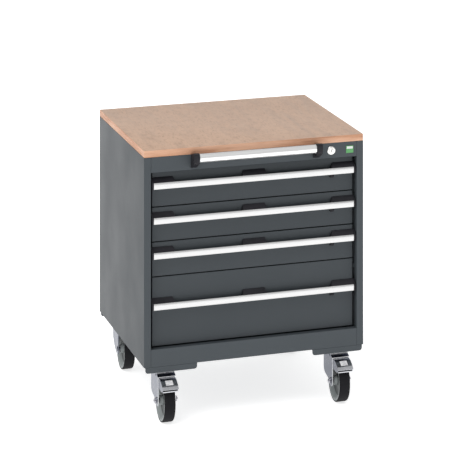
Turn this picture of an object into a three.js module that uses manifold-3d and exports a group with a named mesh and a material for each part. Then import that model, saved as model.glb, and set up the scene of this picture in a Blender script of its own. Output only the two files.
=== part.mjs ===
// A mobile drawer cabinet: a folded steel housing on four castors, with four drawers on runners, a central lock,
// a push handle and a plywood worktop.
// Millimetres, +X to the right, -Y to the front and +Z up. The origin lies on the floor under the middle of the
// whole object, brake pedals included.

import * as THREE from 'three';
import { mergeVertices } from 'three/addons/utils/BufferGeometryUtils.js';
import Module from 'manifold-3d';

const wasm = await Module();
wasm.setup();

// ---------------------------------------------------------------- driving dimensions

const WIDTH = 650;
const DEPTH = 650;
const HEIGHT = 785;
const WORKTOP_THICKNESS = 20;
const HOUSING_HEIGHT = 600;
const PEDAL_REACH = 47; // how far the brake pedals stand out in front of the housing
const SHEET = 1.5;
const GAP = 0.3; // clearance between pieces that touch

const STILE_WIDTH = 20;
const STILE_DEPTH = 24;
const REAR_FLANGE = 22;
const TOP_RAIL_HEIGHT = 44;
const BOTTOM_RAIL_HEIGHT = 50;

const DRAWER_HEIGHTS = [100, 100, 100, 200]; // from the top down
const DRAWER_TRAVEL_GAP = 3; // between one drawer front and the next
const RECESS = 20; // the drawer fronts lie this far behind the frame's face
const PANEL_DEPTH = 14;
const FRONT_HALF_WIDTH = 297.5;
const TRAY_HALF_WIDTH = 289;
const TRAY_LENGTH = 565;

const WHEEL_RADIUS = 62.5;
const WHEEL_WIDTH = 32;
const CASTOR_SIDE = 258; // castors' distance from the middle plane
const CASTOR_INSET = 68; // swivel axes from the front face, rear axles from the back face
const SWIVEL_TRAIL = 45; // front axles ahead of their swivel axes
const CASTOR_RAIL_WIDTH = 150;
const CASTOR_RAIL_INSET = 4;
const CASTOR_RAIL_SKIRT = 17;
const FORK_INSIDE = 23.5;
const FORK_OUTSIDE = 26;

const PUSH_HANDLE_HALF_LENGTH = 173;
const PUSH_HANDLE_REACH = 44.5;
const LOCK_X = 227.5;
const LOCK_BELOW_TOP = 21.5;
const LOCK_THROW = 8;

// ---------------------------------------------------------------- planes that follow from them

const FRONT = -(DEPTH + PEDAL_REACH) / 2 + PEDAL_REACH;
const BACK = FRONT + DEPTH;
const HOUSING_TOP = HEIGHT - WORKTOP_THICKNESS;
const HOUSING_BOTTOM = HOUSING_TOP - HOUSING_HEIGHT;
const STILE_INNER = WIDTH / 2 - STILE_WIDTH;
const SKIN_INNER = WIDTH / 2 - SHEET;
const DRAWERS_TOP = HOUSING_TOP - TOP_RAIL_HEIGHT - DRAWER_TRAVEL_GAP;
const SWIVEL_Y = FRONT + CASTOR_INSET;
const FRONT_AXLE_Y = SWIVEL_Y - SWIVEL_TRAIL;
const REAR_AXLE_Y = BACK - CASTOR_INSET;
const CASTOR_RAIL_UNDER = HOUSING_BOTTOM - GAP - 3;
const LOCK_Z = HOUSING_TOP - LOCK_BELOW_TOP;

function drawerTop(index) {
  const above = DRAWER_HEIGHTS.slice(0, index).reduce((sum, height) => sum + height, 0);
  return DRAWERS_TOP - above;
}

// ---------------------------------------------------------------- materials

const paint = new THREE.MeshStandardMaterial({ color: 0x4b5256, roughness: 0.55, metalness: 0.2 });
const plywood = new THREE.MeshStandardMaterial({ color: 0xc9ab8e, roughness: 0.5, metalness: 0 });
const aluminium = new THREE.MeshStandardMaterial({ color: 0xd8dadb, roughness: 0.32, metalness: 0.9 });
const blackPlastic = new THREE.MeshStandardMaterial({ color: 0x2a2a2d, roughness: 0.5, metalness: 0 });
const zincSteel = new THREE.MeshStandardMaterial({ color: 0xb4b8c0, roughness: 0.35, metalness: 0.85 });
const brightSteel = new THREE.MeshStandardMaterial({ color: 0xc9cbcd, roughness: 0.2, metalness: 0.95 });
const greyPlastic = new THREE.MeshStandardMaterial({ color: 0x8f9593, roughness: 0.55, metalness: 0 });
const rubber = new THREE.MeshStandardMaterial({ color: 0x1f2022, roughness: 0.75, metalness: 0 });
const greenEnamel = new THREE.MeshStandardMaterial({ color: 0x3f8f4d, roughness: 0.4, metalness: 0 });

// ---------------------------------------------------------------- shape tools

// The directions that an outline's first and second numbers and its depth run in, for each extrusion axis.
const BASES = {
  x: new THREE.Matrix4().makeBasis(...axes(1, 2, 0, 1)),
  y: new THREE.Matrix4().makeBasis(...axes(0, 2, 1, -1)),
  z: new THREE.Matrix4().makeBasis(...axes(0, 1, 2, 1)),
};

function axes(first, second, depth, sense) {
  const unit = (index, length) => new THREE.Vector3().setComponent(index, length);
  return [unit(first, 1), unit(second, 1), unit(depth, sense)];
}

// A closed three.js geometry as a solid that can be cut and joined. Rounding makes neighbouring faces meet exactly.
function solid(geometry) {
  const bare = geometry.clone();
  bare.deleteAttribute('normal');
  bare.deleteAttribute('uv');
  const welded = mergeVertices(bare, 1e-4);
  return new wasm.Manifold(new wasm.Mesh({
    numProp: 3,
    vertProperties: welded.attributes.position.array.map((value) => Math.round(value * 1e4) / 1e4),
    triVerts: new Uint32Array(welded.index.array),
  }));
}

// An outline through [u, v, corner radius] points.
function outline(points) {
  const shape = new THREE.Shape();
  const at = (index) => new THREE.Vector2(...points[(index + points.length) % points.length].slice(0, 2));
  points.forEach(([, , radius = 0], index) => {
    const corner = at(index);
    const start = at(index - 1).sub(corner).setLength(radius).add(corner);
    const end = at(index + 1).sub(corner).setLength(radius).add(corner);
    if (index === 0) shape.moveTo(start.x, start.y);
    else shape.lineTo(start.x, start.y);
    if (radius > 0) shape.quadraticCurveTo(corner.x, corner.y, end.x, end.y);
  });
  shape.closePath();
  return shape;
}

// An outline extruded along an axis from one coordinate to another. Outlines are in the other two axes, in x, y, z order.
function prism(axis, points, from, to) {
  const geometry = new THREE.ExtrudeGeometry(outline(points), {
    depth: to - from,
    bevelEnabled: false,
    curveSegments: 4,
  });
  geometry.applyMatrix4(BASES[axis]);
  const start = axis === 'y' ? to : from;
  const shift = new THREE.Vector3().setComponent('xyz'.indexOf(axis), start);
  geometry.translate(shift.x, shift.y, shift.z);
  return solid(geometry);
}

function block([x0, x1], [y0, y1], [z0, z1]) {
  const geometry = new THREE.BoxGeometry(Math.abs(x1 - x0), Math.abs(y1 - y0), Math.abs(z1 - z0));
  geometry.translate((x0 + x1) / 2, (y0 + y1) / 2, (z0 + z1) / 2);
  return solid(geometry);
}

// Turns a geometry made about the Y axis so that it lies about the given axis.
function lay(geometry, axis) {
  if (axis === 'x') geometry.rotateZ(-Math.PI / 2);
  if (axis === 'z') geometry.rotateX(Math.PI / 2);
  return geometry;
}

// A round or many-sided bar along an axis: centre has the two other coordinates' values and any value on the axis.
function bar(axis, centre, radius, from, to, sides = 24) {
  const geometry = lay(new THREE.CylinderGeometry(radius, radius, to - from, sides), axis);
  const place = centre.slice();
  place['xyz'.indexOf(axis)] = (from + to) / 2;
  geometry.translate(...place);
  return solid(geometry);
}

// A profile of [radius, distance along the axis] points, turned about an axis through the given point.
function turned(axis, centre, profile, sides = 32) {
  const closed = [...profile, profile[0]].map(([radius, along]) => new THREE.Vector2(radius, along));
  const geometry = lay(new THREE.LatheGeometry(closed, sides), axis);
  geometry.translate(...centre);
  return solid(geometry);
}

function join(...solids) {
  return solids.reduce((whole, next) => whole.add(next));
}

const object = new THREE.Group();

function piece(name, material, body) {
  const { vertProperties, triVerts } = body.getMesh();
  const geometry = new THREE.BufferGeometry();
  geometry.setAttribute('position', new THREE.BufferAttribute(new Float32Array(vertProperties), 3));
  geometry.setIndex(new THREE.BufferAttribute(new Uint32Array(triVerts), 1));
  geometry.computeVertexNormals();
  const mesh = new THREE.Mesh(geometry, material);
  mesh.name = name;
  object.add(mesh);
}

const sideName = (side) => (side < 0 ? 'left' : 'right');

// ---------------------------------------------------------------- worktop

function worktop() {
  const half = WIDTH / 2;
  const corner = 2;
  const plan = [
    [-half, FRONT, corner],
    [half, FRONT, corner],
    [half, BACK, corner],
    [-half, BACK, corner],
  ];
  return prism('z', plan, HOUSING_TOP + GAP, HEIGHT);
}

piece('worktop', plywood, worktop());

// ---------------------------------------------------------------- housing

// A side is one folded sheet: skin, front stile and rear flange.
function sidePanel(side) {
  const x = (distance) => side * (WIDTH / 2 - distance);
  const plan = [
    [x(0), FRONT, 1],
    [x(STILE_WIDTH), FRONT, 1],
    [x(STILE_WIDTH), FRONT + STILE_DEPTH],
    [x(STILE_WIDTH - SHEET), FRONT + STILE_DEPTH],
    [x(STILE_WIDTH - SHEET), FRONT + SHEET],
    [x(SHEET), FRONT + SHEET],
    [x(SHEET), BACK - SHEET],
    [x(REAR_FLANGE), BACK - SHEET],
    [x(REAR_FLANGE), BACK],
    [x(0), BACK, 1],
  ];
  return prism('z', plan, HOUSING_BOTTOM, HOUSING_TOP);
}

function backPanel() {
  const half = SKIN_INNER - GAP;
  const face = BACK - SHEET - GAP;
  return block([-half, half], [face - SHEET, face], [HOUSING_BOTTOM + GAP, HOUSING_TOP - GAP]);
}

// The roof and the floor are trays of sheet between the sides, their flanges turned into the housing.
function crossPanel(level, inward) {
  const half = SKIN_INNER - GAP;
  const y0 = FRONT + STILE_DEPTH + GAP;
  const y1 = BACK - 2 * SHEET - 2 * GAP;
  const whole = block([-half, half], [y0, y1], [level, level + inward * 15]);
  const hollow = block(
    [-half + SHEET, half - SHEET],
    [y0 - 1, y1 - SHEET],
    [level + inward * SHEET, level + inward * 16],
  );
  return whole.subtract(hollow);
}

function topRail() {
  const z0 = HOUSING_TOP - TOP_RAIL_HEIGHT;
  const profile = [
    [FRONT, z0],
    [FRONT + 18, z0],
    [FRONT + 18, z0 + 12],
    [FRONT + 18 - SHEET, z0 + 12],
    [FRONT + 18 - SHEET, z0 + SHEET],
    [FRONT + SHEET, z0 + SHEET],
    [FRONT + SHEET, HOUSING_TOP - SHEET],
    [FRONT + STILE_DEPTH, HOUSING_TOP - SHEET],
    [FRONT + STILE_DEPTH, HOUSING_TOP],
    [FRONT, HOUSING_TOP],
  ];
  const half = STILE_INNER - GAP;
  const lockHole = bar('y', [LOCK_X, 0, LOCK_Z], 9.8, FRONT - 1, FRONT + 4, 32);
  return prism('x', profile, -half, half).subtract(lockHole);
}

function bottomRail() {
  const z1 = HOUSING_BOTTOM + BOTTOM_RAIL_HEIGHT;
  const profile = [
    [FRONT, HOUSING_BOTTOM],
    [FRONT + STILE_DEPTH, HOUSING_BOTTOM],
    [FRONT + STILE_DEPTH, HOUSING_BOTTOM + SHEET],
    [FRONT + SHEET, HOUSING_BOTTOM + SHEET],
    [FRONT + SHEET, z1 - SHEET],
    [FRONT + STILE_DEPTH - SHEET, z1 - SHEET],
    [FRONT + STILE_DEPTH - SHEET, z1 - 12],
    [FRONT + STILE_DEPTH, z1 - 12],
    [FRONT + STILE_DEPTH, z1],
    [FRONT, z1],
  ];
  const half = STILE_INNER - GAP;
  return prism('x', profile, -half, half);
}

piece('side_panel_left', paint, sidePanel(-1));
piece('side_panel_right', paint, sidePanel(1));
piece('back_panel', paint, backPanel());
piece('roof_panel', paint, crossPanel(HOUSING_TOP, -1));
piece('floor_panel', paint, crossPanel(HOUSING_BOTTOM, 1));
piece('top_rail', paint, topRail());
piece('bottom_rail', paint, bottomRail());

// ---------------------------------------------------------------- castor rails

// A rail under each side takes one front and one rear castor. Its ends are turned down into skirts.
function castorRail(side) {
  const top = HOUSING_BOTTOM - GAP;
  const thickness = top - CASTOR_RAIL_UNDER;
  const low = HOUSING_BOTTOM - CASTOR_RAIL_SKIRT;
  const channel = prism('x', [
    [FRONT, low],
    [FRONT, top],
    [BACK, top],
    [BACK, low],
    [BACK - thickness, low],
    [BACK - thickness, CASTOR_RAIL_UNDER],
    [FRONT + thickness, CASTOR_RAIL_UNDER],
    [FRONT + thickness, low],
  ], -WIDTH / 2, WIDTH / 2);
  const outer = side * (WIDTH / 2 - CASTOR_RAIL_INSET);
  const inner = outer - side * CASTOR_RAIL_WIDTH;
  const skirtCorner = 9;
  const face = [
    [outer, top],
    [outer, low, skirtCorner],
    [inner, low, skirtCorner],
    [inner, top],
  ];
  return channel.intersect(prism('y', face, FRONT - 1, BACK + 1));
}

piece('castor_rail_left', paint, castorRail(-1));
piece('castor_rail_right', paint, castorRail(1));

// ---------------------------------------------------------------- castors

const CASTOR_PLATE_TOP = CASTOR_RAIL_UNDER - GAP;
const CASTOR_PLATE_UNDER = CASTOR_PLATE_TOP - 3.4;
const CROWN_TOP = 147;
const CROWN_UNDER = 144.5;

function boltHeads(x, y) {
  const places = [[-31, -41], [31, -41], [-31, 41], [31, 41]];
  const heads = places.map(([dx, dy]) => bar('z', [x + dx, y + dy, 0], 7, CASTOR_PLATE_UNDER - 5, CASTOR_PLATE_TOP, 6));
  return join(...heads);
}

// Mounting plate, upper bearing cup and kingpin of a swivel castor.
function swivelPlate(x) {
  const plate = block([x - 42.5, x + 42.5], [SWIVEL_Y - 52.5, SWIVEL_Y + 52.5], [CASTOR_PLATE_UNDER, CASTOR_PLATE_TOP]);
  const cup = turned('z', [x, SWIVEL_Y, 0], [
    [0, 138],
    [9.5, 138],
    [9.5, CROWN_UNDER - GAP],
    [6, CROWN_UNDER - GAP],
    [6, CROWN_TOP + GAP],
    [31, CROWN_TOP + GAP],
    [36, 152],
    [36, CASTOR_PLATE_TOP - 1],
    [0, CASTOR_PLATE_TOP - 1],
  ], 28);
  return join(plate, cup, boltHeads(x, SWIVEL_Y));
}

// The two cheeks of a fork or pedal: an outline in y and z on both sides of the wheel.
function cheeks(x, points, inside, outside) {
  const one = (from, to) => prism('x', points, from, to);
  return join(one(x - outside, x - inside), one(x + inside, x + outside));
}

// The swivel fork is one pressing: a crown, two legs that lean forward to the axle, and an apron over the pedal.
function swivelFork(x) {
  const y = (ahead) => SWIVEL_Y - ahead;
  const crown = prism('z', [
    [x - FORK_OUTSIDE, y(41)],
    [x + FORK_OUTSIDE, y(41)],
    [x + FORK_OUTSIDE, y(-29), 14],
    [x - FORK_OUTSIDE, y(-29), 14],
  ], CROWN_UNDER, CROWN_TOP);
  const apron = prism('x', [
    [y(34), CROWN_TOP],
    [y(43), CROWN_TOP, 4],
    [y(44), 138.5, 3],
    [y(62), 133],
    [y(62), 131],
    [y(41.5), 137, 3],
    [y(40.5), CROWN_UNDER],
    [y(34), CROWN_UNDER],
  ], x - FORK_OUTSIDE, x + FORK_OUTSIDE);
  const legs = cheeks(x, [
    [y(-26), CROWN_TOP - 1],
    [y(-29), 138, 6],
    [y(-29), 74, 14],
    [y(4), 66, 8],
    [y(26), 62, 7],
    [y(33), 47.5, 7],
    [y(57), 47.5, 7],
    [y(62), 60, 5],
    [y(62), 132],
    [y(44), 137.5, 2],
    [y(42), CROWN_TOP - 1],
  ], FORK_INSIDE, FORK_OUTSIDE);
  const kingpinHole = bar('z', [x, SWIVEL_Y, 0], 6 + GAP, CROWN_UNDER - 1, CROWN_TOP + 1, 28);
  const axleHole = bar('x', [0, FRONT_AXLE_Y, WHEEL_RADIUS], AXLE_RADIUS + GAP, x - 30, x + 30);
  const pedalHole = bar('x', [0, PEDAL_PIVOT_Y, PEDAL_PIVOT_Z], PEDAL_PIN_RADIUS + GAP, x - 30, x + 30);
  return join(crown, apron, legs).subtract(join(kingpinHole, axleHole, pedalHole));
}

// The fixed fork's legs rise from the axle and lean back to a plate that ends just inside the rail's rear skirt.
function fixedFork(x) {
  const y = (behind) => REAR_AXLE_Y + behind;
  const plate = block([x - 42.5, x + 42.5], [y(-40), y(64)], [CASTOR_PLATE_UNDER, CASTOR_PLATE_TOP]);
  const legs = cheeks(x, [
    [y(-13), CASTOR_PLATE_TOP - 1],
    [y(-13), 46, 10],
    [y(16), 46, 9],
    [y(44), 61, 10],
    [y(67), 86, 12],
    [y(67), 140, 3],
    [y(63.5), 146, 2],
    [y(63.5), CASTOR_PLATE_TOP - 1],
  ], FORK_INSIDE, FORK_OUTSIDE);
  const axleHole = bar('x', [0, REAR_AXLE_Y, WHEEL_RADIUS], AXLE_RADIUS + GAP, x - 30, x + 30);
  return join(plate, legs, boltHeads(x, y(12))).subtract(axleHole);
}

const AXLE_RADIUS = 5;

// A threaded pin through the swivel fork with a nut on each end.
function boltedAxle(x) {
  const centre = [0, FRONT_AXLE_Y, WHEEL_RADIUS];
  const face = FORK_OUTSIDE + GAP;
  return join(
    bar('x', centre, AXLE_RADIUS, x - face - 9, x + face + 9, 16),
    bar('x', centre, 8.5, x - face - 6, x - face, 6),
    bar('x', centre, 8.5, x + face, x + face + 6, 6),
  );
}

// A hollow rivet through the fixed fork, its rims flared.
function rivetedAxle(x) {
  const centre = [0, REAR_AXLE_Y, WHEEL_RADIUS];
  const face = FORK_OUTSIDE + GAP;
  return join(
    bar('x', centre, AXLE_RADIUS, x - face - 1.2, x + face + 1.2, 20),
    bar('x', centre, 7.5, x - face - 1.2, x - face, 20),
    bar('x', centre, 7.5, x + face, x + face + 1.2, 20),
  ).subtract(bar('x', centre, 3, x - face - 2, x + face + 2, 16));
}

const RIM_RADIUS = 58.5;

function wheel(x, y) {
  return turned('x', [x, y, WHEEL_RADIUS], [
    [AXLE_RADIUS + GAP, -18],
    [13, -18],
    [15, -4],
    [42, -3],
    [54, -15],
    [RIM_RADIUS, -15.5],
    [RIM_RADIUS, 15.5],
    [54, 15],
    [42, 3],
    [15, 4],
    [13, 18],
    [AXLE_RADIUS + GAP, 18],
  ], 36);
}

function tyre(x, y) {
  const half = WHEEL_WIDTH / 2;
  return turned('x', [x, y, WHEEL_RADIUS], [
    [RIM_RADIUS + GAP, -15],
    [60, -half],
    [61.3, -half + 0.7],
    [WHEEL_RADIUS, -half + 3.5],
    [WHEEL_RADIUS, half - 3.5],
    [61.3, half - 0.7],
    [60, half],
    [RIM_RADIUS + GAP, 15],
  ], 36);
}

const PEDAL_PIVOT_Y = SWIVEL_Y - 33;
const PEDAL_PIVOT_Z = 133;
const PEDAL_PIN_RADIUS = 3;

// The brake pedal is a pressed cover over the wheel with a tongue under its nose. Its cheeks lie inside the fork and
// turn on a cross pin.
function brakePedal(x) {
  const tip = CASTOR_INSET + PEDAL_REACH;
  const y = (ahead) => SWIVEL_Y - ahead;
  const half = FORK_INSIDE - GAP;
  const cover = prism('x', [
    [y(54), 127.5],
    [y(66), 128, 6],
    [y(83), 125.5, 7],
    [y(95), 120, 5],
    [y(105), 112.5, 3],
    [y(107), 107],
    [y(tip - 4), 106],
    [y(tip), 109.5, 1],
    [y(tip - 7), 116, 3],
    [y(97), 122, 5],
    [y(84), 128, 7],
    [y(66), 130.3, 6],
    [y(54), 129.5],
  ], x - half, x + half);
  const tongue = block([x - half + 1.5, x + half - 1.5], [y(tip - 3), y(103)], [101.3, 104]);
  const sides = cheeks(x, [
    [y(26), 138, 5],
    [y(26), 124, 6],
    [y(50), 102, 8],
    [y(95), 99.5, 4],
    [y(108), 102.5, 2],
    [y(109), 108],
    [y(97), 120.5],
    [y(84), 126.5],
    [y(66), 129],
    [y(54), 128.8],
  ], half - 2, half);
  const pin = bar('x', [0, PEDAL_PIVOT_Y, PEDAL_PIVOT_Z], PEDAL_PIN_RADIUS, x - half - 4, x + half + 4, 16);
  return join(cover, tongue, sides, pin);
}

for (const side of [-1, 1]) {
  const x = side * CASTOR_SIDE;
  const name = `castor_front_${sideName(side)}`;
  piece(`${name}_plate`, zincSteel, swivelPlate(x));
  piece(`${name}_fork`, zincSteel, swivelFork(x));
  piece(`${name}_axle`, zincSteel, boltedAxle(x));
  piece(`${name}_wheel`, greyPlastic, wheel(x, FRONT_AXLE_Y));
  piece(`${name}_tyre`, rubber, tyre(x, FRONT_AXLE_Y));
  piece(`${name}_pedal`, zincSteel, brakePedal(x));
}

for (const side of [-1, 1]) {
  const x = side * CASTOR_SIDE;
  const name = `castor_rear_${sideName(side)}`;
  piece(`${name}_fork`, zincSteel, fixedFork(x));
  piece(`${name}_axle`, zincSteel, rivetedAxle(x));
  piece(`${name}_wheel`, greyPlastic, wheel(x, REAR_AXLE_Y));
  piece(`${name}_tyre`, rubber, tyre(x, REAR_AXLE_Y));
}

// ---------------------------------------------------------------- push handle

const TUBE_RADIUS = 12.5;
const TUBE_Y = FRONT - PUSH_HANDLE_REACH + TUBE_RADIUS;
const TUBE_Z = HOUSING_TOP - 6;

function pushHandleTube() {
  const half = PUSH_HANDLE_HALF_LENGTH - GAP;
  return bar('x', [0, TUBE_Y, TUBE_Z], TUBE_RADIUS, -half, half, 32);
}

function pushHandleBracket(side) {
  const profile = [
    [FRONT - GAP, HOUSING_TOP - 39.5, 3],
    [FRONT - GAP, HOUSING_TOP - 0.5],
    [TUBE_Y + 4, TUBE_Z + TUBE_RADIUS + 2, 6],
    [FRONT - PUSH_HANDLE_REACH - 1, TUBE_Z + TUBE_RADIUS + 2, 7],
    [FRONT - PUSH_HANDLE_REACH - 1, TUBE_Z - TUBE_RADIUS, 9],
  ];
  const x0 = side * PUSH_HANDLE_HALF_LENGTH;
  const x1 = side * (PUSH_HANDLE_HALF_LENGTH + 17);
  return prism('x', profile, Math.min(x0, x1), Math.max(x0, x1));
}

piece('push_handle_tube', aluminium, pushHandleTube());
piece('push_handle_bracket_left', blackPlastic, pushHandleBracket(-1));
piece('push_handle_bracket_right', blackPlastic, pushHandleBracket(1));

// ---------------------------------------------------------------- badge and lock

function badgePlate() {
  const z = HOUSING_TOP - 22;
  return block([272.5, 294.5], [FRONT - GAP - 1, FRONT - GAP], [z - 10.5, z + 10.5]);
}

piece('badge_plate', greenEnamel, badgePlate());

const PLUG_RADIUS = 6.5;
const CAM_Y = FRONT + STILE_DEPTH + 0.5;
const BAR_Y = CAM_Y + 1.5;
const HOOK_TIP = 300.5;
const HOOK_HEIGHT = 10;
const HOOK_BELOW_TOP = 24;

// Turned about an axis towards the back: the first number is the radius, the second the depth behind the frame's face.
function lockHousing() {
  return turned('y', [LOCK_X, FRONT, LOCK_Z], [
    [PLUG_RADIUS + GAP, -3.2],
    [PLUG_RADIUS + GAP, 17.5],
    [9.5, 17.5],
    [9.5, -GAP],
    [12.5, -GAP],
    [12.5, -2.2],
    [11, -3.2],
  ].reverse());
}

function lockPlug() {
  const centre = [LOCK_X, 0, LOCK_Z];
  const keyway = block([LOCK_X - 1, LOCK_X + 1], [FRONT - 5, FRONT + 8], [LOCK_Z - 3.8, LOCK_Z + 3.8]);
  return join(
    bar('y', centre, PLUG_RADIUS, FRONT - 3.4, CAM_Y, 28),
    bar('y', centre, 11, CAM_Y - 2, CAM_Y, 28),
    bar('y', [LOCK_X + LOCK_THROW, 0, LOCK_Z], 2, CAM_Y - 1, CAM_Y + 5, 12),
  ).subtract(keyway);
}

// The locking bar stands behind the right stile. Its arm reaches along the top rail to the lock's pin. When it is
// raised, each of its hooks stands in front of one drawer's stud.
function lockingBar() {
  const plate = (x, z) => block(x, [BAR_Y, BAR_Y + 2], z);
  const hookHeights = DRAWER_HEIGHTS.map((_, index) => drawerTop(index) - HOOK_BELOW_TOP);
  const lowest = Math.min(...hookHeights) - 20;
  const upright = plate([309, 320], [lowest, LOCK_Z + 7]);
  const arm = plate([LOCK_X - 6, 320], [LOCK_Z - 7, LOCK_Z + 7]);
  const hooks = hookHeights.map((z) => plate([HOOK_TIP, 310], [z - HOOK_HEIGHT / 2, z + HOOK_HEIGHT / 2]));
  const pinSlot = block([LOCK_X - 3, LOCK_X + 11], [BAR_Y - 1, BAR_Y + 3], [LOCK_Z - 4.5, LOCK_Z + 4.5]);
  return join(upright, arm, ...hooks).subtract(pinSlot);
}

piece('lock_housing', brightSteel, lockHousing());
piece('lock_plug', brightSteel, lockPlug());
piece('locking_bar', paint, lockingBar());

// ---------------------------------------------------------------- drawers

const RUNNER_HEIGHT = 14;
const RUNNER_INNER = 293;
const RUNNER_ABOVE_BASE = 22; // the runners' underside above each drawer's lower limit
const RACK_FRONT = FRONT + RECESS + PANEL_DEPTH + 2;
const RACK_BACK = BACK - 32;

const runnerBase = (index) => drawerTop(index) - DRAWER_HEIGHTS[index] + RUNNER_ABOVE_BASE;

// Two posts and a channel for each drawer, open towards the drawer.
function runnerRack(side) {
  const x = (distance) => side * distance;
  const low = HOUSING_BOTTOM + 18;
  const high = HOUSING_TOP - 18;
  const post = (y) => block([x(STILE_INNER - 1), x(SKIN_INNER - GAP - SHEET - GAP)], [y, y + 25], [low, high]);
  const channels = DRAWER_HEIGHTS.map((_, index) => {
    const z = runnerBase(index);
    return prism('y', [
      [x(RUNNER_INNER), z],
      [x(STILE_INNER), z],
      [x(STILE_INNER), z + RUNNER_HEIGHT],
      [x(RUNNER_INNER), z + RUNNER_HEIGHT],
      [x(RUNNER_INNER), z + RUNNER_HEIGHT - SHEET],
      [x(STILE_INNER - SHEET), z + RUNNER_HEIGHT - SHEET],
      [x(STILE_INNER - SHEET), z + SHEET],
      [x(RUNNER_INNER), z + SHEET],
    ], RACK_FRONT, RACK_BACK);
  });
  return join(post(RACK_FRONT + 4), post(RACK_BACK - 29), ...channels);
}

piece('runner_rack_left', paint, runnerRack(-1));
piece('runner_rack_right', paint, runnerRack(1));

const PANEL_FACE = FRONT + RECESS;
const TRAY_FRONT = PANEL_FACE + PANEL_DEPTH + GAP;
const STRIP_BELOW_TOP = 27.5; // the handle strip's upper edge below a 100 mm drawer's upper limit
const STRIP_HEIGHT = 18.6;
const STRIP_HALF_WIDTH = 296.3;

// A deeper drawer carries its handle lower: near the middle of its front.
const stripTop = (index) => drawerTop(index) - STRIP_BELOW_TOP - (DRAWER_HEIGHTS[index] - 100) * 0.46;

// The front is a shallow pan of sheet, its four edges turned back.
function drawerFront(index) {
  const z0 = drawerTop(index) - DRAWER_HEIGHTS[index] + DRAWER_TRAVEL_GAP / 2;
  const z1 = drawerTop(index) - DRAWER_TRAVEL_GAP / 2;
  const half = FRONT_HALF_WIDTH;
  const pan = block([-half, half], [PANEL_FACE, PANEL_FACE + PANEL_DEPTH], [z0, z1]);
  const hollow = block(
    [-half + SHEET, half - SHEET],
    [PANEL_FACE + SHEET, PANEL_FACE + PANEL_DEPTH + 1],
    [z0 + SHEET, z1 - SHEET],
  );
  return pan.subtract(hollow);
}

// The tray: floor, back, front and sides of sheet, a running strip along each side and a stud for the locking bar.
function drawerTray(index) {
  const base = drawerTop(index) - DRAWER_HEIGHTS[index];
  const z0 = base + 9;
  const z1 = base + DRAWER_HEIGHTS[index] - 16;
  const y0 = TRAY_FRONT;
  const y1 = TRAY_FRONT + TRAY_LENGTH;
  const half = TRAY_HALF_WIDTH;
  const tray = block([-half, half], [y0, y1], [z0, z1]);
  const hollow = block([-half + SHEET, half - SHEET], [y0 + SHEET, y1 - SHEET], [z0 + SHEET, z1 + 1]);
  const runner = runnerBase(index);
  const slide = [runner + SHEET + 0.6, runner + RUNNER_HEIGHT - SHEET - 0.6];
  const runners = [-1, 1].map((side) => block(
    [side * (half - 0.5), side * (STILE_INNER - SHEET - 1)],
    [y0 + 8, y1],
    slide,
  ));
  const studBase = drawerTop(index) - HOOK_BELOW_TOP + HOOK_HEIGHT / 2 + 1.5;
  const stud = block([half - 0.5, HOOK_TIP + 3], [y0 + 0.5, y0 + 4.5], [studBase, studBase + 6]);
  return join(tray.subtract(hollow), ...runners, stud);
}

// The handle strip is a channel that opens upwards. Its front wall is gripped from above.
function handleStrip(index) {
  const z1 = stripTop(index);
  const z0 = z1 - STRIP_HEIGHT;
  const back = PANEL_FACE - GAP;
  const profile = [
    [FRONT + 2, z0],
    [back, z0],
    [back, z0 + 7],
    [back - 2, z0 + 7],
    [back - 2, z0 + 2.5],
    [FRONT + 4, z0 + 2.5],
    [FRONT + 3, z1],
    [FRONT + 1, z1, 0.6],
    [FRONT, z1 - 5, 2],
    [FRONT, z0 + 4, 2],
  ];
  return prism('x', profile, -STRIP_HALF_WIDTH, STRIP_HALF_WIDTH);
}

// The black insert lies in the strip: end caps, and three wedges that slope from the panel down to the strip.
function handleGrip(index) {
  const z1 = stripTop(index);
  const z0 = z1 - STRIP_HEIGHT;
  const back = PANEL_FACE - GAP;
  const lugTop = z1 + 13;
  const bed = block([-STRIP_HALF_WIDTH, STRIP_HALF_WIDTH], [FRONT + 5, back - 2.5], [z0 + 2.5 + GAP, z0 + 6]);
  const lug = (x0, x1, slant0, slant1) => {
    const wedge = prism('x', [
      [FRONT + 4.3, z0 + 2.5 + GAP],
      [back - 2 - GAP, z0 + 2.5 + GAP],
      [back - 2 - GAP, z0 + 7 + GAP],
      [back, z0 + 7 + GAP],
      [back, lugTop],
      [back - 2, lugTop],
      [FRONT + 3.4, z1 + 0.6],
      [FRONT + 3.6, z1 - 6],
    ], x0, x1);
    const face = [[x0, z0], [x1, z0], [x1 - slant1, lugTop], [x0 + slant0, lugTop]];
    return wedge.intersect(prism('y', face, FRONT - 1, back + 1));
  };
  const cap = (side) => {
    const x = [STRIP_HALF_WIDTH + GAP, STRIP_HALF_WIDTH + 5.2].map((value) => side * value);
    const plate = prism('x', [
      [FRONT + 0.5, z0 - 0.5, 2],
      [back, z0 - 0.5],
      [back, lugTop],
      [back - 2, lugTop],
      [FRONT + 0.5, z1 + 0.5, 2],
    ], Math.min(...x), Math.max(...x));
    const tongue = block(
      [side * (STRIP_HALF_WIDTH - 3), side * (STRIP_HALF_WIDTH + 2)],
      [FRONT + 5, back - 2.5],
      [z0 + 2.5 + GAP, z0 + 6],
    );
    return join(plate, tongue);
  };
  const end = STRIP_HALF_WIDTH + 1;
  return join(
    bed,
    cap(-1),
    cap(1),
    lug(-end, -224, 0, 15),
    lug(-41, 41, 9, 9),
    lug(220, end, 15, 0),
  );
}

// A small lever under the strip frees one drawer's catch when it is pushed up.
const LATCH_X = 232.5;
const LATCH_PIVOT_DEPTH = 14;

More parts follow.
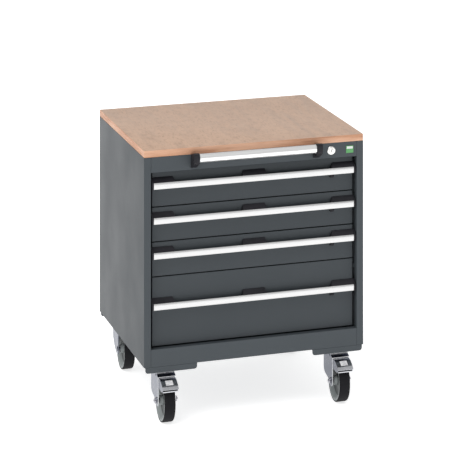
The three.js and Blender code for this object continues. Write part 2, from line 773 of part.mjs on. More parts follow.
function latchLever(index) {
  const z = stripTop(index) - STRIP_HEIGHT - GAP;
  const back = PANEL_FACE - GAP;
  const lever = prism('x', [
    [FRONT + 5, z - 4, 1],
    [FRONT + 9, z - 10, 2],
    [back - 1, z - 10, 1],
    [back - 1, z - 1.2],
    [FRONT + 8, z - 1.2],
  ], LATCH_X - 5.5, LATCH_X + 5.5);
  return lever;
}

DRAWER_HEIGHTS.forEach((_, index) => {
  const name = `drawer_${index + 1}`;
  piece(`${name}_tray`, paint, drawerTray(index));
  piece(`${name}_front`, paint, drawerFront(index));
  piece(`${name}_handle`, aluminium, handleStrip(index));
  piece(`${name}_grip`, blackPlastic, handleGrip(index));
  piece(`${name}_latch`, blackPlastic, latchLever(index));
});

export default object;
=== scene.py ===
"""Looks of a mobile workshop cabinet: powder-coated steel housing, plywood worktop, drawers and castors.

Lengths in the shape functions are millimetres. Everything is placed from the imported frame:
+X right, -Y front, +Z up.
"""

import math

import bmesh
import bpy
from mathutils import Matrix, Vector


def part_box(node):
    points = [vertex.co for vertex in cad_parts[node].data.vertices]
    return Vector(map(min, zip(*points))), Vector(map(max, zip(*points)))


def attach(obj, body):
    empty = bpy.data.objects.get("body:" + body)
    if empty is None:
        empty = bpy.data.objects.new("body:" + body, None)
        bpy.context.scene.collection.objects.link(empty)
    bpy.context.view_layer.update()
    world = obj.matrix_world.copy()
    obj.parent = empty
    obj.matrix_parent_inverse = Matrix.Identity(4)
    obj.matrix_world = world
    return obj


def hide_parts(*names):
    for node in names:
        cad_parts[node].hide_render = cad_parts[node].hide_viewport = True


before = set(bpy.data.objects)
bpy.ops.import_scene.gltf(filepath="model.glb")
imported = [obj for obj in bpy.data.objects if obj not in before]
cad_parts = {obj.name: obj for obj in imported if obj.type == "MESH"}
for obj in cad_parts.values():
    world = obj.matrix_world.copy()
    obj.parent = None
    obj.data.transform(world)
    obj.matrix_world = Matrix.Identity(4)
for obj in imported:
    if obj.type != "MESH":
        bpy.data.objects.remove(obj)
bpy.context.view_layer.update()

# ------------------------------------------------------------------ places, in millimetres


def limits(node):
    """A node's lowest and highest corner in millimetres."""
    low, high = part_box(node)
    return Vector(low) * 1000, Vector(high) * 1000


worktop_low, worktop_high = limits("worktop")
FRONT = worktop_low.y
HOUSING_TOP = limits("side_panel_left")[1].z
HOUSING_BOTTOM = limits("side_panel_left")[0].z
OUTER_FACE = 323  # faces of the side panels farther out than this are their outer faces
SIDES = {"left": -1, "right": 1}
DRAWERS = (1, 2, 3, 4)

# ------------------------------------------------------------------ finishes


class Finish:
    """A material grown from one Principled shader. Patterns lie on Object coordinates, in metres."""

    def __init__(self, name, colour, roughness, metallic=0.0):
        self.material = bpy.data.materials.new(name)
        self.material.use_nodes = True
        self.tree = self.material.node_tree
        self.shader = self.tree.nodes["Principled BSDF"]
        self.shader.inputs["Base Color"].default_value = (*colour, 1)
        self.shader.inputs["Roughness"].default_value = roughness
        self.shader.inputs["Metallic"].default_value = metallic
        self.place = self.node("ShaderNodeTexCoord").outputs["Object"]

    def node(self, kind, links=None, **settings):
        """A new node. Settings are attributes; links are sockets or plain values for its inputs."""
        made = self.tree.nodes.new(kind)
        for key, value in settings.items():
            setattr(made, key, value)
        for key, value in (links or {}).items():
            if isinstance(value, bpy.types.NodeSocket):
                self.tree.links.new(value, made.inputs[key])
            else:
                made.inputs[key].default_value = value
        return made

    def stretched(self, scale):
        return self.node("ShaderNodeMapping", {"Vector": self.place, "Scale": scale}).outputs["Vector"]

    def noise(self, scale, detail=2.0, stretch=None, distortion=0.0):
        """A cloudy 0 to 1 pattern with about `scale` cells to the metre."""
        where = self.stretched(stretch) if stretch else self.place
        settings = {"Vector": where, "Scale": scale, "Detail": detail, "Distortion": distortion}
        return self.node("ShaderNodeTexNoise", settings).outputs["Fac"]

    def ramp(self, factor, *stops, constant=False):
        """Colours or greys along a factor: each stop is (position, colour)."""
        made = self.node("ShaderNodeValToRGB", {"Fac": factor})
        ramp = made.color_ramp
        if constant:
            ramp.interpolation = "CONSTANT"
        while len(ramp.elements) < len(stops):
            ramp.elements.new(1.0)
        for element, (position, colour) in zip(ramp.elements, stops):
            element.position = position
            element.color = (*colour, 1) if isinstance(colour, tuple) else (colour, colour, colour, 1)
        return made.outputs["Color"]

    def mixed(self, factor, first, second, blend="MIX"):
        made = self.node("ShaderNodeMix", data_type="RGBA", blend_type=blend)
        for index, value in ((0, factor), (6, first), (7, second)):
            if isinstance(value, bpy.types.NodeSocket):
                self.tree.links.new(value, made.inputs[index])
            elif index == 0:
                made.inputs[index].default_value = value
            else:
                made.inputs[index].default_value = (*value, 1)
        return made.outputs[2]

    def ranged(self, factor, low, high, from_low=0.3, from_high=0.7):
        links = {"Value": factor, "From Min": from_low, "From Max": from_high, "To Min": low, "To Max": high}
        return self.node("ShaderNodeMapRange", links).outputs["Result"]

    def math(self, operation, first, second=0.0):
        made = self.node("ShaderNodeMath", operation=operation)
        for index, value in enumerate((first, second)):
            if isinstance(value, bpy.types.NodeSocket):
                self.tree.links.new(value, made.inputs[index])
            else:
                made.inputs[index].default_value = value
        return made.outputs[0]

    def set(self, socket, value):
        if isinstance(value, bpy.types.NodeSocket):
            self.tree.links.new(value, self.shader.inputs[socket])
        else:
            self.shader.inputs[socket].default_value = value

    def relief(self, height, depth, strength=1.0):
        """Bump of the given depth in metres. A second call adds to the first."""
        links = {"Height": height, "Distance": depth, "Strength": strength}
        before = self.shader.inputs["Normal"]
        if before.is_linked:
            links["Normal"] = before.links[0].from_socket
        self.set("Normal", self.node("ShaderNodeBump", links).outputs["Normal"])


def powder_coat(name, depth):
    """Anthracite powder coat: fine pebbled texture, slightly uneven gloss. Depth scales its lightness; the
    darker copies paint shade.
    """
    colours = ((0.05, 0.06, 0.068), (0.057, 0.067, 0.075), (0.073, 0.082, 0.09))
    dark, middle, pale = (tuple(depth * c for c in colour) for colour in colours)
    finish = Finish(name, middle, 0.5)
    cloud = finish.noise(7, 3)
    tone = finish.ramp(cloud, (0.3, dark), (0.7, middle))
    speck = finish.noise(1900, 1)
    finish.set("Base Color", finish.mixed(finish.ranged(speck, 0.0, 0.35), tone, pale))
    finish.set("Roughness", finish.ranged(cloud, 0.46, 0.55))
    finish.set("Specular IOR Level", 0.28)
    finish.relief(finish.noise(850, 2), 0.00012, 0.35)
    finish.relief(speck, 0.00005, 0.3)
    return finish.material


def beech_face():
    """Lacquered beech veneer: long faint bands, fine pores and short darker flecks along the grain."""
    finish = Finish("beech_veneer", (0.55, 0.36, 0.245), 0.42)
    bands = finish.noise(9, 4, stretch=(3.2, 0.35, 1), distortion=0.6)
    tone = finish.ramp(bands, (0.28, (0.5, 0.31, 0.2)), (0.5, (0.61, 0.385, 0.255)), (0.74, (0.68, 0.44, 0.3)))
    pores = finish.noise(420, 3, stretch=(1, 0.09, 1))
    tone = finish.mixed(finish.ranged(pores, 0.0, 0.6, 0.5, 0.75), tone, (0.38, 0.23, 0.145))
    flecks = finish.noise(150, 2, stretch=(1.3, 0.3, 1), distortion=0.4)
    tone = finish.mixed(finish.ranged(flecks, 0.0, 0.6, 0.55, 0.7), tone, (0.36, 0.21, 0.13))
    mottle = finish.noise(48, 3, stretch=(1, 0.5, 1))
    tone = finish.mixed(finish.ranged(mottle, 0.0, 0.5), tone, (0.7, 0.465, 0.32))
    finish.set("Base Color", tone)
    finish.set("Roughness", finish.ranged(bands, 0.38, 0.5))
    finish.set("Coat Weight", 0.25)
    finish.set("Coat Roughness", 0.25)
    finish.relief(pores, 0.0001, 0.35)
    return finish.material


LAYER_PAIR = 0.0029  # metres of board that one long-grain and one end-grain layer take


def beech_layers():
    """The sawn edge of the board: thin crossed layers, long-grain ones lighter than end-grain ones."""
    finish = Finish("beech_layers", (0.7, 0.4, 0.26), 0.55)
    height = finish.node("ShaderNodeSeparateXYZ", {"Vector": finish.place}).outputs["Z"]
    wander = finish.noise(14, 2, stretch=(1, 1, 4))
    level = finish.math("MULTIPLY", height, 1 / LAYER_PAIR)
    phase = finish.math("FRACT", finish.math("ADD", level, finish.math("MULTIPLY", wander, 0.35)))
    tone = finish.ramp(
        phase,
        (0.0, (0.30, 0.145, 0.08)),
        (0.07, (0.66, 0.36, 0.22)),
        (0.47, (0.7, 0.39, 0.24)),
        (0.52, (0.30, 0.145, 0.08)),
        (0.58, (0.5, 0.24, 0.135)),
        (0.94, (0.54, 0.265, 0.15)),
        (1.0, (0.30, 0.145, 0.08)),
    )
    streaks = finish.noise(34, 4, stretch=(0.3, 0.3, 9))
    tone = finish.mixed(finish.ranged(streaks, 0.0, 0.75, 0.45, 0.66), tone, (0.4, 0.18, 0.1))
    glow = finish.noise(9, 3, stretch=(0.6, 0.6, 6))
    tone = finish.mixed(finish.ranged(glow, 0.0, 0.75, 0.42, 0.62), tone, (0.76, 0.46, 0.31))
    finish.set("Base Color", tone)
    finish.set("Roughness", finish.ranged(streaks, 0.48, 0.64))
    finish.relief(phase, 0.0002, 0.3)
    finish.relief(finish.noise(900, 2, stretch=(1, 1, 0.4)), 0.0001, 0.25)
    return finish.material


def anodised(name, shade):
    """Satin anodised aluminium with fine drawn lines along X."""
    finish = Finish(name, (shade, shade, shade), 0.3, metallic=1.0)
    lines = finish.noise(500, 3, stretch=(0.012, 1, 1))
    dull, bright = 0.96 * shade, min(1.03 * shade, 1)
    finish.set("Base Color", finish.ramp(lines, (0.3, dull), (0.7, bright)))
    finish.set("Roughness", finish.ranged(lines, 0.26, 0.38))
    finish.relief(lines, 0.00003, 0.4)
    return finish.material


def black_moulding():
    """Black moulded plastic with a fine eroded grain."""
    finish = Finish("black_moulding", (0.021, 0.021, 0.025), 0.48)
    grain = finish.noise(1300, 2)
    cloud = finish.noise(25, 2)
    finish.set("Base Color", finish.ramp(cloud, (0.3, (0.013, 0.013, 0.016)), (0.7, (0.018, 0.017, 0.022))))
    finish.set("Roughness", finish.ranged(grain, 0.42, 0.58))
    finish.set("Specular IOR Level", 0.24)
    finish.relief(grain, 0.00008, 0.45)
    return finish.material


def bright_zinc(name="bright_zinc", colour=(0.172, 0.184, 0.226), smooth=0.24, rough=0.36):
    """Bright zinc plate on pressed steel: bluish, softly clouded."""
    finish = Finish(name, colour, smooth, metallic=1.0)
    cloud = finish.noise(38, 3, distortion=0.5)
    low = tuple(0.9 * c for c in colour)
    high = tuple(min(1.08 * c, 1) for c in colour)
    finish.set("Base Color", finish.ramp(cloud, (0.3, low), (0.7, high)))
    finish.set("Roughness", finish.ranged(cloud, smooth, rough))
    finish.relief(finish.noise(240, 2), 0.00006, 0.25)
    return finish.material


def nickel():
    finish = Finish("nickel_plate", (0.88, 0.87, 0.85), 0.2, metallic=1.0)
    turning = finish.noise(700, 2)
    finish.set("Roughness", finish.ranged(turning, 0.17, 0.28))
    finish.relief(turning, 0.00002, 0.3)
    return finish.material


def wheel_nylon(name, colour):
    """Grey moulded polyamide, faintly mottled."""
    finish = Finish(name, colour, 0.42)
    cloud = finish.noise(60, 3)
    low, high = (tuple(share * c for c in colour) for share in (0.93, 1.08))
    finish.set("Base Color", finish.ramp(cloud, (0.3, low), (0.7, high)))
    finish.set("Roughness", finish.ranged(cloud, 0.36, 0.5))
    finish.relief(finish.noise(1500, 2), 0.00004, 0.3)
    return finish.material


def tyre_rubber():
    """Smooth black solid rubber with a little dust in its grain."""
    finish = Finish("tyre_rubber", (0.008, 0.008, 0.01), 0.62)
    dust = finish.noise(55, 4)
    finish.set("Base Color", finish.ramp(dust, (0.4, (0.007, 0.007, 0.009)), (0.8, (0.013, 0.013, 0.014))))
    finish.set("Roughness", finish.ranged(dust, 0.55, 0.72))
    finish.set("Specular IOR Level", 0.14)
    finish.relief(finish.noise(1100, 2), 0.0001, 0.3)
    return finish.material


def enamel(name, colour):
    """Glossy enamel, very slightly uneven in depth."""
    finish = Finish(name, colour, 0.3)
    pool = finish.noise(300, 2)
    paler = tuple(min(c * 1.12, 1) for c in colour)
    finish.set("Base Color", finish.ramp(pool, (0.3, colour), (0.7, paler)))
    finish.set("Coat Weight", 0.4)
    finish.relief(pool, 0.00004, 0.2)
    return finish.material


def paper():
    """A white label with a faint slanting shade."""
    finish = Finish("label_paper", (0.78, 0.78, 0.8), 0.5)
    shade = finish.noise(75, 2, stretch=(0.8, 1.6, 2.4), distortion=0.3)
    finish.set("Base Color", finish.ramp(shade, (0.42, (0.6, 0.6, 0.62)), (0.58, (0.86, 0.86, 0.87))))
    finish.relief(finish.noise(1500, 3), 0.00003, 0.3)
    return finish.material


POWDER = powder_coat("powder_coat", 1.06)
# A darker copy of the powder coat paints shade onto the recessed drawer fronts.
SHADED_FRONT_POWDER = powder_coat("front_powder_painted_shade", 0.87)
# A darker copy of the powder coat paints shade onto the side panels' outer faces.
SHADED_SIDE_POWDER = powder_coat("side_powder_painted_shade", 0.84)
BEECH = beech_face()
LAYERS = beech_layers()
ALUMINIUM = anodised("anodised_tube", 0.97)
STRIP_ALUMINIUM = anodised("anodised_strip", 0.71)
BLACK = black_moulding()
ZINC = bright_zinc()
PEDAL_ZINC = bright_zinc("pedal_zinc", (0.56, 0.57, 0.6), 0.12, 0.22)
# A paler, rougher zinc paints light onto the front faces of the front castors' yokes.
LIT_APRON_ZINC = bright_zinc("apron_zinc_painted_light", (0.92, 0.93, 0.96), 0.5, 0.6)
NUT_ZINC = bright_zinc("nut_zinc", (0.42, 0.42, 0.45), 0.09, 0.14)
# A near-black zinc paints shade into the rear rivets' bores.
SHADED_BORE_ZINC = bright_zinc("bore_painted_shade", (0.05, 0.05, 0.06), 0.4, 0.5)
NICKEL = nickel()
NYLON = wheel_nylon("grey_polyamide", (0.26, 0.283, 0.283))
# A darker copy of the polyamide paints shade into the wheels' sunken webs.
SHADED_WEB_NYLON = wheel_nylon("web_polyamide_painted_shade", (0.09, 0.1, 0.1))
RUBBER = tyre_rubber()
GREEN = enamel("green_enamel", (0.07, 0.3, 0.085))
WHITE = enamel("white_enamel", (0.66, 0.69, 0.67))
PAPER = paper()

# ------------------------------------------------------------------ shapes

ACROSS = {"x": (1, 2, 0), "y": (0, 2, 1), "z": (0, 1, 2)}


def point(axis, u, v, along):
    """A point in metres from two coordinates across an axis and one along it."""
    placed = [0.0, 0.0, 0.0]
    for index, value in zip(ACROSS[axis], (u, v, along)):
        placed[index] = value / 1000
    return Vector(placed)


def turn_to(axis):
    """The turn that lays a shape made along Z along another axis."""
    if axis == "x":
        return Matrix.Rotation(math.pi / 2, 4, "Y")
    if axis == "y":
        return Matrix.Rotation(-math.pi / 2, 4, "X")
    return Matrix.Identity(4)


def block(low, high):
    shape = bmesh.new()
    low, high = Vector(low) / 1000, Vector(high) / 1000
    size = Matrix.Diagonal((*(high - low), 1))
    bmesh.ops.create_cube(shape, size=1, matrix=Matrix.Translation((low + high) / 2) @ size)
    return shape


def rod(axis, u, v, radius, start, stop, sides=64, far_radius=None):
    """A round or many-sided bar along an axis."""
    shape = bmesh.new()
    far = radius if far_radius is None else far_radius
    place = Matrix.Translation(point(axis, u, v, (start + stop) / 2)) @ turn_to(axis)
    bmesh.ops.create_cone(
        shape,
        cap_ends=True,
        segments=sides,
        radius1=radius / 1000,
        radius2=far / 1000,
        depth=abs(stop - start) / 1000,
        matrix=place,
    )
    return shape


def slab(axis, outline, start, stop):
    """A flat outline given across an axis, thickened along it."""
    shape = bmesh.new()
    corners = [shape.verts.new(point(axis, u, v, start)) for u, v in outline]
    face = shape.faces.new(corners)
    grown = bmesh.ops.extrude_face_region(shape, geom=[face])
    moved = [item for item in grown["geom"] if isinstance(item, bmesh.types.BMVert)]
    bmesh.ops.translate(shape, verts=moved, vec=point(axis, 0, 0, stop - start))
    bmesh.ops.recalc_face_normals(shape, faces=shape.faces)
    return shape


def turned(axis, u, v, profile, steps=96):
    """A closed profile of (radius, along) spun round an axis. Points on the axis close its ends."""
    shape = bmesh.new()
    middle = point(axis, u, v, 0)
    spokes = [shape.verts.new(point(axis, u + radius, v, along)) for radius, along in profile]
    rim = [shape.edges.new(pair) for pair in zip(spokes, spokes[1:] + spokes[:1])]
    bmesh.ops.spin(
        shape,
        geom=spokes + rim,
        cent=middle,
        axis=point(axis, 0, 0, 1).normalized(),
        dvec=(0, 0, 0),
        angle=2 * math.pi,
        steps=steps,
        use_merge=True,
        use_duplicate=False,
    )
    bmesh.ops.remove_doubles(shape, verts=shape.verts, dist=1e-6)
    bmesh.ops.recalc_face_normals(shape, faces=shape.faces)
    return shape


def node_copy(node):
    """A welded copy of a CAD node, with its flat faces whole again."""
    shape = bmesh.new()
    shape.from_mesh(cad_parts[node].data)
    bmesh.ops.remove_doubles(shape, verts=shape.verts, dist=1e-5)
    bmesh.ops.dissolve_limit(shape, angle_limit=math.radians(0.6), verts=shape.verts, edges=shape.edges)
    return shape


def joined(*shapes):
    """Several shapes as one piece."""
    whole = bmesh.new()
    for shape in shapes:
        mesh = bpy.data.meshes.new("part")
        shape.to_mesh(mesh)
        shape.free()
        whole.from_mesh(mesh)
        bpy.data.meshes.remove(mesh)
    return whole


def rounded(shape, width, chosen=lambda edge: True, segments=3, angle=25):
    """Rounds the chosen edges that are sharper than an angle."""
    least = math.radians(angle)
    folded = [edge for edge in shape.edges if edge.is_manifold and edge.calc_face_angle() > least]
    sharp = [edge for edge in folded if chosen(edge)]
    bmesh.ops.bevel(
        shape,
        geom=sharp,
        offset=width / 1000,
        offset_type="OFFSET",
        affect="EDGES",
        segments=segments,
        profile=0.5,
        clamp_overlap=True,
        material=-1,
    )
    return shape


def runs_along(axis):
    """Chooses edges that run along an axis."""
    index = "xyz".index(axis)

    def test(edge):
        run = edge.verts[1].co - edge.verts[0].co
        return abs(run[index]) > 0.99 * run.length

    return test


def moved(shape, x=0, y=0, z=0):
    bmesh.ops.translate(shape, verts=shape.verts, vec=(x / 1000, y / 1000, z / 1000))
    return shape


def piece(name, shape, body, materials, replaces=(), bevel=None, segments=2, smooth=32):
    """A finished piece that rides on a body. Bevel is the width in millimetres of its last edge rounding."""
    mesh = bpy.data.meshes.new(name)
    shape.to_mesh(mesh)
    shape.free()
    made = bpy.data.objects.new(name, mesh)
    bpy.context.scene.collection.objects.link(made)
    for material in materials if isinstance(materials, (list, tuple)) else [materials]:
        mesh.materials.append(material)
    mesh.shade_smooth()
    mesh.set_sharp_from_angle(angle=math.radians(smooth))
    if bevel:
        edge = made.modifiers.new("edges", "BEVEL")
        edge.width = bevel / 1000
        edge.segments = segments
        edge.limit_method = "ANGLE"
        edge.angle_limit = math.radians(smooth)
        edge.harden_normals = True
        edge.use_clamp_overlap = True
    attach(made, body)
    if replaces:
        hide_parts(*replaces)
    return made


def finish_some(shape, test):
    """Gives the second finish to the faces that pass a test of their middle, in millimetres, and direction."""
    shape.normal_update()
    for face in shape.faces:
        if test(face.calc_center_median() * 1000, face.normal):
            face.material_index = 1


def restyle(node, name, materials, body, slot, bevel=0.4, segments=2, smooth=32, second=None):
    """A CAD node's own shape with softly rounded edges.

    Faces that pass the test given as second take the second of its materials.
    """
    shape = node_copy(node)
    if second:
        finish_some(shape, second)
    return piece(name, shape, body, materials, (node,), bevel, segments, smooth)


# ------------------------------------------------------------------ worktop


def make_worktop():
    board = block(worktop_low, worktop_high)
    rounded(board, 3, runs_along("z"), segments=5)
    rounded(board, 1.1, segments=3)
    board.normal_update()
    for face in board.faces:
        face.material_index = 0 if abs(face.normal.z) > 0.9 else 1
    piece("worktop_board", board, "housing", [BEECH, LAYERS], ("worktop",))


make_worktop()

# ------------------------------------------------------------------ housing

# The side panels' outer faces take the darker powder copy: painted shade.
for side in SIDES:
    restyle(
        f"side_panel_{side}",
        f"side_shell_{side}",
        [POWDER, SHADED_SIDE_POWDER],
        "housing",
        "paint",
        bevel=0.55,
        second=lambda middle, normal: abs(normal.x) > 0.9 and abs(middle.x) > OUTER_FACE,
    )
for node in ("back_panel", "roof_panel", "floor_panel", "top_rail", "bottom_rail"):
    restyle(node, node + "_sheet", POWDER, "housing", "paint", bevel=0.45)
for side in SIDES:
    rail, rack = f"castor_rail_{side}", f"runner_rack_{side}"
    restyle(rail, rail + "_sheet", POWDER, "housing", "paint", bevel=0.7, segments=3)
    restyle(rack, rack + "_channels", POWDER, "housing", "paint", bevel=0.25, segments=1)


RIVET_SIDE = 306 * 0.97  # the rivet rows' distance from the middle plane
RIVET_INSET = 45  # the first and last rivet's distance from the housing's ends
RIVET_COUNT = 5
RIVET_HEAD = [(0, 0), (4.2, 0), (4.2, 0.4), (3.2, 1.1), (1.4, 1.4), (0, 1.4)]  # (radius, height)


def make_back_rivets():
    """Blind rivets along the back panel's two upright edges."""
    face = limits("back_panel")[1].y
    run = HOUSING_TOP - HOUSING_BOTTOM - 2 * RIVET_INSET
    dome = [(radius, face + height) for radius, height in RIVET_HEAD]
    heads = []
    for x in (-RIVET_SIDE, RIVET_SIDE):
        for step in range(RIVET_COUNT):
            z = HOUSING_BOTTOM + RIVET_INSET + step * run / (RIVET_COUNT - 1)
            heads.append(turned("y", x, z, dome, steps=24))
    piece("back_rivets", joined(*heads), "housing", POWDER)


make_back_rivets()

# ------------------------------------------------------------------ push handle


HANDLE_PLUG = [(0, 0), (7.5, 0), (7.5, 0.3), (6.3, 0.9), (0, 1.1)]  # (radius, height)


def make_push_handle():
    """A round tube between two brackets, each with a plug in its outer face."""
    low, high = limits("push_handle_tube")
    y, z = (low.y + high.y) / 2, (low.z + high.z) / 2
    radius = (high.z - low.z) / 2
    profile = [(0, low.x), (radius - 0.6, low.x), (radius, low.x + 0.6)]
    profile += [(radius, high.x - 0.6), (radius - 0.6, high.x), (0, high.x)]
    tube = turned("x", y, z, profile, steps=96)
    piece("push_handle_grip", tube, "housing", ALUMINIUM, ("push_handle_tube",))
    for side, sign in SIDES.items():
        node = f"push_handle_bracket_{side}"
        arm = node_copy(node)
        rounded(arm, 2.4, segments=5)
        outer = limits(node)[1].x if sign > 0 else limits(node)[0].x
        cap = [(radius, outer + sign * height) for radius, height in HANDLE_PLUG]
        plug = turned("x", y, z, cap, steps=48)
        piece(f"push_handle_arm_{side}", joined(arm, plug), "housing", BLACK, (node,))


make_push_handle()

# ------------------------------------------------------------------ lock and badge


def make_lock():
    low, high = limits("lock_housing")
    x, z = (low.x + high.x) / 2, (low.z + high.z) / 2
    rosette = [
        (6.8, FRONT - 2.9),
        (7.3, FRONT - 3.3),
        (9.0, FRONT - 3.3),
        (11.2, FRONT - 2.9),
        (12.2, FRONT - 2.0),
        (12.5, FRONT - 1.2),
        (12.5, FRONT - 0.3),
        (9.5, FRONT - 0.3),
        (9.5, high.y),
        (6.8, high.y),
    ]
    ring = turned("y", x, z, rosette)
    piece("lock_rosette", ring, "housing", NICKEL, ("lock_housing",))
    restyle("lock_plug", "lock_barrel_face", NICKEL, "lock_barrel", "lock", bevel=0.25, smooth=28)
    restyle("locking_bar", "locking_bar_strip", POWDER, "lock_bar", "paint", bevel=0.3)


def make_badge():
    """A plain green plate with a white field let into its upper part."""
    low, high = limits("badge_plate")
    plate = block(low, high)
    rounded(plate, 0.35, segments=3)
    piece("badge_enamel", plate, "housing", GREEN, ("badge_plate",))
    field = block((low.x + 1.7, low.y - 0.25, low.z + 12.2), (high.x - 1.7, low.y + 0.4, high.z - 1.7))
    rounded(field, 0.12, segments=2)
    piece("badge_field", field, "housing", WHITE)


make_lock()
make_badge()

# ------------------------------------------------------------------ drawers


def make_drawer(number):
    name = f"drawer_{number}"
    restyle(f"{name}_tray", f"{name}_box", POWDER, name, "paint", bevel=0.35)
    # The drawer front takes the darker powder copy: painted shade in its recess.
    restyle(f"{name}_front", f"{name}_panel", SHADED_FRONT_POWDER, name, "paint", bevel=0.9, segments=3)
    strip = {"bevel": 0.4, "segments": 3, "smooth": 20}
    restyle(f"{name}_handle", f"{name}_strip", STRIP_ALUMINIUM, name, "aluminium", **strip)
    restyle(f"{name}_grip", f"{name}_insert", BLACK, name, "black", bevel=0.6, segments=3)
    restyle(f"{name}_latch", f"{name}_catch_lever", BLACK, f"latch_{number}", "black", bevel=0.5)


for number in DRAWERS:
    make_drawer(number)

# ------------------------------------------------------------------ castors

# One side of the wheel's and the tyre's profiles, from the axle outwards:
# (radius, distance from the wheel's middle plane).
RIM_HALF = [
    (5.4, -17.6),
    (6.2, -18.0),
    (12.2, -18.0),
    (13.2, -17.1),
    (14.0, -9.0),
    (15.2, -5.2),
    (18.0, -3.7),
    (38.0, -3.1),
    (42.0, -3.7),
    (44.6, -5.6),
    (53.0, -13.9),
    (54.8, -15.3),
    (58.4, -15.4),
]
TYRE_HALF = [
    (58.8, -14.8),
    (59.3, -15.6),
    (60.3, -16.0),
    (61.4, -15.3),
    (62.2, -13.7),
    (62.5, -11.6),
]


# Faces of the web take a darker polyamide: painted shade in the wheel's dish.
WEB = (14.5, 44)  # radii between which the wheel is its sunken web
# Faces of the bore take a near-black zinc: painted shade in the rivet's hole.
BORE = 4.4  # radius inside which the rear rivet is its bore


def both_sides(half):
    return half + [(radius, -along) for radius, along in reversed(half)]


def make_wheel(name, body):
    """Rim and tyre, both turned about the axle."""
    low, high = limits(f"{name}_tyre")
    x, y, z = (low + high) / 2
    rim = turned("x", y, z, [(radius, x + along) for radius, along in both_sides(RIM_HALF)])
    # The web's faces take the darker polyamide: painted shade.
    finish_some(rim, lambda middle, normal: WEB[0] < math.hypot(middle.y - y, middle.z - z) < WEB[1])
    piece(f"{name}_rim", rim, body, [NYLON, SHADED_WEB_NYLON], (f"{name}_wheel",), smooth=40)
    tread = turned("x", y, z, [(radius, x + along) for radius, along in both_sides(TYRE_HALF)])
    piece(f"{name}_tread", tread, body, RUBBER, (f"{name}_tyre",), smooth=50)


def hexagon(axis, u, v, start, stop, radius=8.5):
    """A nut with its outer corners turned off."""
    head = rod(axis, u, v, radius, start, stop, sides=6)
    rounded(head, 0.5, segments=2)
    return head


PIN_END = [(0, 0), (2.2, 0.3), (4.2, 1.3), (5.4, 3.2), (5.4, 5), (0, 5)]  # (radius, depth)


def make_bolted_axle(name, body):
    """A threaded pin with a washer, a nut and a domed end on each side."""
    low, high = limits(f"{name}_axle")
    y, z = (low.y + high.y) / 2, (low.z + high.z) / 2
    ends = []
    for outer, inward in ((low.x, 1), (high.x, -1)):
        ends.append(hexagon("x", y, z, *sorted((outer + 3 * inward, outer + 8.2 * inward))))
        ends.append(rod("x", y, z, 10, *sorted((outer + 8.1 * inward, outer + 9 * inward)), sides=48))
        dome = [(radius, outer + depth * inward) for radius, depth in PIN_END]
        ends.append(turned("x", y, z, dome, steps=48))
    shaft = rod("x", y, z, 5, low.x + 4, high.x - 4, sides=48)
    piece(f"{name}_bolt", joined(shaft, *ends), body, NUT_ZINC, (f"{name}_axle",))


def make_label(name, body):
    """A plain label on the slope of a brake pedal."""
    low, high = limits(f"{name}_pedal")
    middle, tip = (low.x + high.x) / 2, low.y
    face = [(tip + 29.5, 127.45), (tip + 18, 122.1), (tip + 12, 118.85)]
    outline = face + [(y, z + 0.3) for y, z in reversed(face)]
    label = slab("x", outline, middle - 10.5, middle + 10.5)
    piece(f"{name}_label", label, body, PAPER)


def make_front_castor(side):
    name = f"castor_front_{side}"
    swivel, brake = f"{name}_swivel", f"{name}_brake"
    make_wheel(name, f"{name}_roller")
    make_bolted_axle(name, swivel)
    restyle(f"{name}_plate", f"{name}_head", ZINC, "housing", "zinc", bevel=0.4)
    # The yoke's front-facing faces take the paler zinc: painted light on the apron.
    yoke = {"bevel": 0.7, "segments": 3, "smooth": 28, "second": lambda middle, normal: normal.y < -0.35}
    restyle(f"{name}_fork", f"{name}_yoke", [ZINC, LIT_APRON_ZINC], swivel, "zinc", **yoke)
    treadle = {"bevel": 0.5, "segments": 3, "smooth": 28, "second": lambda middle, normal: abs(normal.x) > 0.9}
    restyle(f"{name}_pedal", f"{name}_treadle", [PEDAL_ZINC, ZINC], brake, "zinc", **treadle)
    make_label(name, brake)


def make_rear_castor(side):
    name = f"castor_rear_{side}"
    make_wheel(name, f"{name}_roller")
    low, high = limits(f"{name}_axle")
    y, z = (low.y + high.y) / 2, (low.z + high.z) / 2
    # The bore's walls take the near-black zinc: painted shade in the rivet's hole.
    bore = {
        "bevel": 0.25,
        "smooth": 40,
        "second": lambda middle, normal: abs(normal.x) < 0.5 and math.hypot(middle.y - y, middle.z - z) < BORE,
    }
    restyle(f"{name}_axle", f"{name}_rivet", [ZINC, SHADED_BORE_ZINC], "housing", "zinc", **bore)
    restyle(f"{name}_fork", f"{name}_yoke", ZINC, "housing", "zinc", bevel=0.7, segments=3, smooth=28)


for side in SIDES:
    make_front_castor(side)
    make_rear_castor(side)

# ------------------------------------------------------------------ floor, light and camera


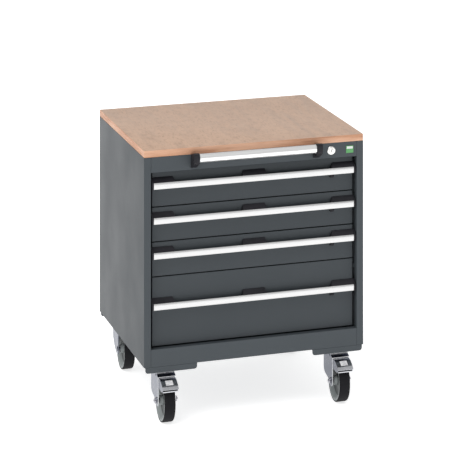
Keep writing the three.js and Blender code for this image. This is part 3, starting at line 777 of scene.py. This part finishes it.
def make_stage():
    """A wide pale floor under soft even light from all round."""
    floor_mesh = bpy.data.meshes.new("floor")
    plane = bmesh.new()
    bmesh.ops.create_grid(plane, x_segments=1, y_segments=1, size=40)
    plane.to_mesh(floor_mesh)
    plane.free()
    floor = bpy.data.objects.new("floor", floor_mesh)
    bpy.context.scene.collection.objects.link(floor)
    finish = Finish("pale_floor", (0.82, 0.82, 0.82), 0.8)
    finish.set("Emission Color", (1, 1, 1, 1))
    finish.set("Emission Strength", 0.7)
    floor_mesh.materials.append(finish.material)

    world = bpy.data.worlds.new("studio")
    world.use_nodes = True
    sky = world.node_tree.nodes["Background"]
    sky.inputs["Color"].default_value = (1, 1, 1, 1)
    sky.inputs["Strength"].default_value = 0.6
    bpy.context.scene.world = world
    bpy.context.scene.view_settings.view_transform = "Standard"


def soft_sun(name, towards, strength, spread):
    """A broad even light that shines along a direction."""
    light = bpy.data.lights.new(name, "SUN")
    light.energy = strength
    light.angle = math.radians(spread)
    lamp = bpy.data.objects.new(name, light)
    lamp.rotation_euler = Vector(towards).to_track_quat("-Z", "Y").to_euler()
    bpy.context.scene.collection.objects.link(lamp)


EYE = Vector((-1.9451, -7.9454, 2.4239))
YAW = 21.917  # degrees that the camera's back is turned from looking straight at the front
FOCAL_LENGTH = 215.65  # millimetres, for a 36 mm wide back
AIM = (-0.1454, -0.2403)  # how far right and up the middle of the view lies, for each unit ahead


def make_camera():
    """A view camera. Its back stands upright, so upright edges stay parallel, and its lens looks down past it.

    The parent holds the back's three directions. Without the parent it is an ordinary camera.
    """
    yaw = math.radians(YAW)
    right = Vector((math.cos(yaw), -math.sin(yaw), 0))
    up = Vector((0, 0, 1))
    ahead = up.cross(right)
    look = ahead + AIM[0] * right + AIM[1] * up
    stretch = look.length
    look.normalize()
    back = Matrix.Identity(4)
    for column, direction in enumerate((right, up, -look)):
        for row in range(3):
            back[row][column] = direction[row]
    stand = bpy.data.objects.new("camera_back", None)
    lens = bpy.data.cameras.new("camera")
    lens.lens = FOCAL_LENGTH * stretch
    lens.sensor_width = 36
    camera = bpy.data.objects.new("camera", lens)
    for item in (stand, camera):
        bpy.context.scene.collection.objects.link(item)
    camera.parent = stand
    camera.matrix_parent_inverse = Matrix.Translation(EYE) @ back
    bpy.context.scene.camera = camera


make_stage()
soft_sun("key", (0.42, 0.33, -0.8), 1.12, 40)
make_camera()
